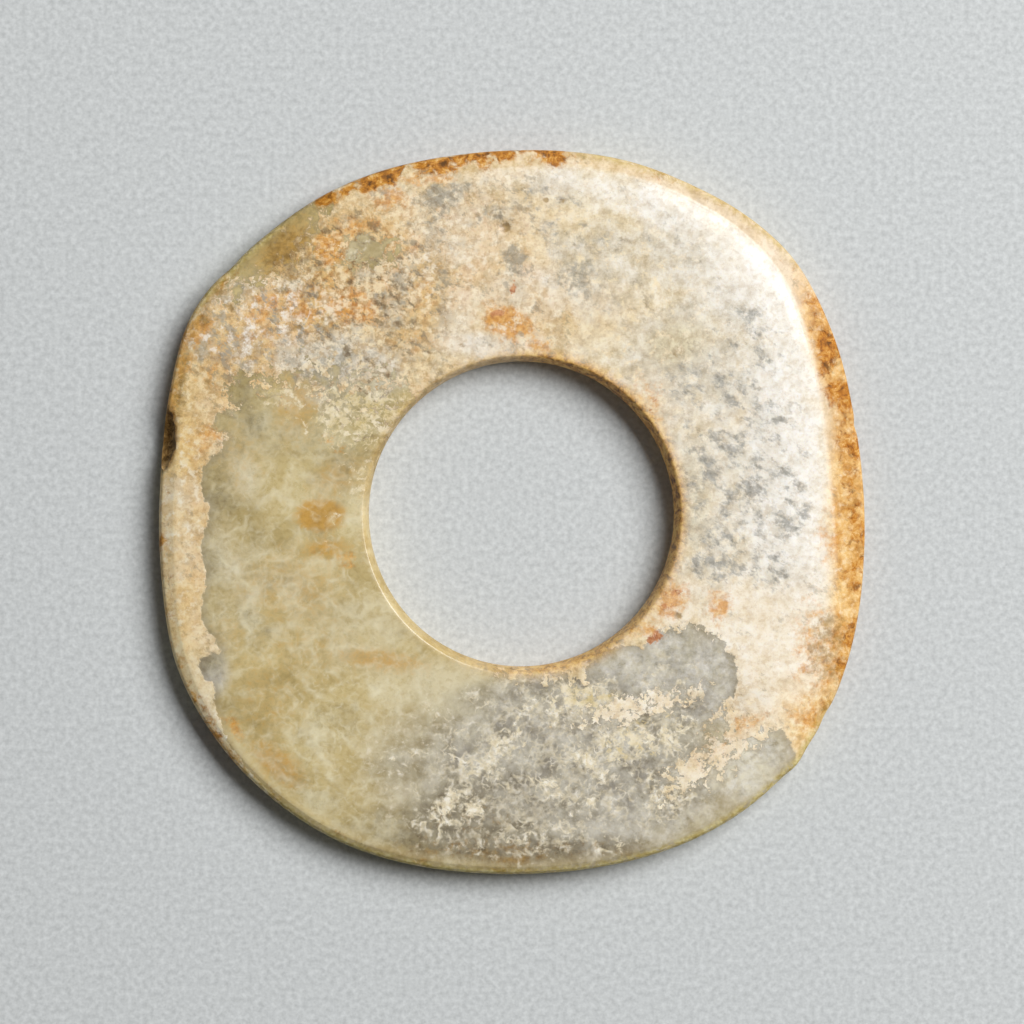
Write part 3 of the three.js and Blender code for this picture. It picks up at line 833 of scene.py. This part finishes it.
def rindColour(jade):
    # the crust: cream, white, dull or peach, and grained all over
    mottle, patchy = jade.mottle, jade.patchy
    rind = jade.tone("rind", mottle)
    rind = layWash(jade, rind, "white", patchy, mottle)
    rind = layWash(jade, rind, "peach", mottle, mottle)
    rind = layWash(jade, rind, "cream", patchy, mottle)
    crumbly = jade.tone("crumbly", jade.grain(jade.stirred, "crumbly"))
    rind = jade.blend(jade.times(jade.grainy, strengths["crumbly"]), rind, crumbly)
    rind = layWash(jade, rind, "dull", patchy, mottle)
    return layWash(jade, rind, "straw", mottle, mottle)


def coverWithCrust(jade, colour):
    # specks lie before the crust's edge, and a thin dark shore runs along it
    speckled = stipple(jade, "specks", jade.curled, jade.times(jade.attribute("specks"), 0.74))
    colour = jade.blend(jade.times(speckled, strengths["specks"]), colour, jade.tone("specks", jade.mottle))
    ragged = jade.line(jade.grain(jade.stirred, "ragged"), 7, -3.5)
    edge = jade.plus(jade.attribute("crust"), jade.times(ragged, jade.attribute("fray")))
    shore = jade.times(jade.rise(edge, -1.6, 0.0), strengths["shore"])
    colour = jade.blend(shore, colour, jade.tone("shore"))
    jade.cover = jade.rise(edge, -0.2, 0.2)
    return jade.blend(jade.cover, colour, rindColour(jade))


def addGreys(jade, colour):
    # grey where the stone shows through the crust: slanting dashes on the right, and loose patches
    painted = jade.attribute("dashes")
    slanted = slantedPlace(jade, "dashes", stir(jade, jade.place, 1.6, 0.9))
    amount = jade.times(jade.plus(painted, jade.line(jade.patchy, 1.0, -0.5)), 0.62)
    jade.dashes = jade.times(stipple(jade, "dashes", slanted, amount), jade.rise(painted, 0.0, 0.3))
    smudge = stipple(jade, "smudge", jade.stirred, jade.times(painted, 0.62))
    colour = jade.blend(jade.times(smudge, strengths["smudge"]), colour, jade.tone("smudge"))
    colour = jade.blend(jade.times(jade.dashes, strengths["dashes"]), colour, jade.tone("dashes", jade.haze))
    return layStain(jade, colour, "grey", jade.curled, jade.haze)


def addGrains(jade, colour):
    # cream crumbs, dark grains and flecks over the crust, in groups
    groups = jade.line(jade.grain(jade.place, "groups"), 1.6, -0.8)
    amount = jade.plus(jade.times(groups, jade.grainy), jade.line(jade.grainy, 0.08, 0.46))
    size, width, strong = crumbThreads
    curls = jade.times(threads(jade, jade.place, size, width, jade.grainy), jade.grainy, strong)
    crumbs = jade.largest(stipple(jade, "crumbs", jade.place, amount), curls)
    crumbTone = jade.blend(jade.attribute("white"), jade.tone("crumbs"), jade.tone("crumbsOnWhite"))
    colour = jade.blend(jade.times(crumbs, jade.cover, strengths["crumbs"]), colour, crumbTone)

    amount = jade.maths("SUBTRACT", jade.line(jade.grainy, 0.2, 0.30), jade.times(groups, 0.8))
    dark = stipple(jade, "darkGrain", slantedPlace(jade, "darkGrain", jade.place), amount)
    dark = jade.times(dark, jade.line(jade.grainy, 0.45, 0.4), jade.cover)
    darkTone = jade.blend(jade.attribute("white"), jade.tone("darkGrain", jade.mottle),
                          jade.tone("darkGrainOnWhite"))
    colour = jade.blend(dark, colour, darkTone)

    flecks = jade.rise(jade.grain(jade.place, "flecks"), 0.52, 0.40)
    return jade.darken(jade.times(flecks, jade.cover, jade.line(jade.grainy, 0.5, 0.25)), colour, "flecks")


def addRimColours(jade, colour):
    # the bevel, paler on its far side with painted light and darker on the side towards the key light with
    # painted shade, with iron and soil, and then the scar, partly painted shade, the rim line and the hole,
    # its lip darkened with painted shade
    # painted light on the side away from the key light, screened over the bevel and, where there is crust,
    # over the roll inside it
    paintedLightFarRoll = jade.times(jade.attribute("paintedLightFarRoll"), jade.cover, strengths["paintedLightFarRoll"])
    colour = jade.blend(jade.largest(jade.attribute("paintedLightFarBevel"), paintedLightFarRoll), colour, jade.tone("paintedLightFarBevel"), "SCREEN")
    amount = jade.times(jade.attribute("iron"), jade.line(jade.patchy, 5.0, -1.5))
    iron = jade.times(stipple(jade, "iron", jade.curled, amount), strengths["iron"])
    colour = jade.blend(iron, colour, jade.tone("iron", jade.grain(jade.stirred, "rust")))
    colour = layStain(jade, colour, "red", jade.curled, jade.haze)
    colour = layStain(jade, colour, "soil", jade.curled, jade.haze)
    # the scar's dark brown is partly staining and partly painted shade, where the scar faces away from the
    # key light
    scar = jade.times(jade.attribute("scar"), strengths["scar"])
    colour = jade.blend(scar, colour, jade.tone("scar", jade.rusty))
    line = jade.times(jade.attribute("rimLine"), jade.rise(jade.rusty, 0.35, 0.55))
    colour = jade.blend(line, colour, jade.tone("rimLine", jade.haze))
    # painted shade: the bevel darkened where it faces the key light
    colour = jade.darken(jade.times(jade.attribute("paintedShadeLitBevel"), strengths["paintedShadeLitBevel"]), colour, "paintedShadeLitBevel")
    # painted shade: the wall and lip round the hole are darkened all round, to tone down the lip where it
    # faces the key light
    colour = jade.darken(jade.attribute("hole"), colour, "hole")
    golden = jade.times(jade.attribute("holeIron"), strengths["holeIron"])
    return jade.blend(golden, colour, jade.tone("holeIron", jade.rusty))


def setGloss(jade):
    # glossy on the polished band, softer on the faces, and dull where the bevel and the hole were ground
    ground = jade.largest(jade.attribute("bevel"), jade.attribute("hole"))
    rough = jade.plus(jade.times(jade.cover, gloss["crust"]),
                      jade.line(jade.mottle, gloss["mottled"], gloss["roughness"]))
    rough = jade.largest(rough, jade.times(ground, gloss["ground"]))
    polished = jade.times(jade.maths("SUBTRACT", gloss["polished"], rough), jade.attribute("polish"))
    jade.plug(jade.shader.inputs["Roughness"], jade.plus(rough, polished))
    jade.plug(jade.shader.inputs["Specular IOR Level"],
              jade.line(jade.attribute("bevel"), gloss["bevelSpecular"], gloss["specular"]))
    jade.shader.inputs["Subsurface Weight"].default_value = gloss["subsurface"]
    jade.shader.inputs["Subsurface Radius"].default_value = gloss["subsurfaceRadius"]
    jade.shader.inputs["Subsurface Scale"].default_value = gloss["subsurfaceScale"] * mm
    jade.shader.inputs["IOR"].default_value = gloss["ior"]


def setRelief(jade):
    # the crust stands a little proud, and the dashes lie in it
    grained = jade.times(jade.mottle, jade.line(jade.cover, relief["crustMottle"], relief["jadeMottle"]))
    height = jade.line(jade.cover, relief["crust"], grained)
    height = jade.maths("SUBTRACT", height, jade.times(jade.dashes, relief["dashes"]))
    strength = jade.line(jade.attribute("polish"), relief["polished"], relief["strength"])
    jade.plug(jade.shader.inputs["Normal"],
              jade.node("Bump", Height=height, Strength=strength, Distance=relief["height"] * mm))


def makeJade():
    jade = Finish("jade")
    addPatterns(jade)
    colour = addLace(jade, clearStone(jade))
    colour = coverWithCrust(jade, colour)
    colour = addGreys(jade, colour)
    colour = layStain(jade, colour, "orange", jade.place, jade.haze)
    colour = addGrains(jade, colour)
    jade.plug(jade.shader.inputs["Base Color"], addRimColours(jade, colour))
    setGloss(jade)
    setRelief(jade)
    return jade.material


disc = addBlank("jadeDisc")
print("blank turned:", len(disc.data.vertices), "vertices")
grindToShape(disc)
breakFlake(disc)
wearSurface(disc)
pressPits(disc)
markZones(disc)
print("disc ground and worn:", len(disc.data.polygons), "faces")

disc.data.materials.clear()
disc.data.materials.append(makeJade())
bpy.ops.object.select_all(action="DESELECT")
disc.select_set(True)
bpy.context.view_layer.objects.active = disc
bpy.ops.object.shade_smooth_by_angle(angle=math.radians(wear["sharpFrom"]))
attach(disc, "root")
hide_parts("jade_disc")
print("jade finished")


# the table and the studio, in metres, degrees and watts
studio = {
    "table": 3, "tableRoughness": 0.9,
    "key": {"bearing": 34, "height": 46.5, "away": 2.0, "size": (1.5, 1.2), "power": 56},
    "shine": {"bearing": 38, "height": 71.8, "away": 1.5, "size": (0.5, 0.035), "power": 1.15},
    "sky": 0.08,
    "frameWidth": 0.166,         # how much of the table the camera takes in, at the disc's upper face
    "lens": 180, "sensor": 36, "clipStart": 0.01,
}


def addTable():
    bpy.ops.object.select_all(action="DESELECT")
    bpy.ops.mesh.primitive_plane_add(size=studio["table"], location=(0, 0, 0))
    table = bpy.context.object
    table.name = "table"
    paper = Finish("paper")
    fibres = paper.tone("paper", paper.grain(paper.place, "fibre"))
    paper.plug(paper.shader.inputs["Base Color"], fibres)
    paper.shader.inputs["Roughness"].default_value = studio["tableRoughness"]
    table.data.materials.append(paper.material)


def addLight(name, bearing, height, away, size, power):
    # an area light turned towards the disc
    lamp = bpy.data.lights.new(name, "AREA")
    lamp.energy = power
    lamp.shape = "RECTANGLE"
    lamp.size, lamp.size_y = size
    light = bpy.data.objects.new(name, lamp)
    bpy.context.collection.objects.link(light)
    bearing, height = math.radians(bearing), math.radians(height)
    level = away * math.cos(height)
    light.location = (level * math.cos(bearing), level * math.sin(bearing), away * math.sin(height))
    light.rotation_euler = (math.pi / 2 - height, 0, bearing + math.pi / 2)
    return light


def addCamera():
    # straight above, looking down
    lens = bpy.data.cameras.new("camera")
    lens.lens = studio["lens"]
    lens.sensor_width = studio["sensor"]
    lens.clip_start = studio["clipStart"]
    camera = bpy.data.objects.new("camera", lens)
    bpy.context.collection.objects.link(camera)
    camera.location = (0, 0, stone["thickness"] * mm + studio["frameWidth"] * lens.lens / lens.sensor_width)
    bpy.context.scene.camera = camera


addTable()
addLight("key", **studio["key"])
shine = addLight("shine", **studio["shine"])
shine.visible_diffuse = False        # only for the glint along the arris
addCamera()

world = bpy.data.worlds.new("studio")
world.use_nodes = True
world.node_tree.nodes["Background"].inputs["Color"].default_value = (1, 1, 1, 1)
world.node_tree.nodes["Background"].inputs["Strength"].default_value = studio["sky"]
bpy.context.scene.world = world
bpy.context.scene.view_settings.view_transform = "Standard"
print("studio set")
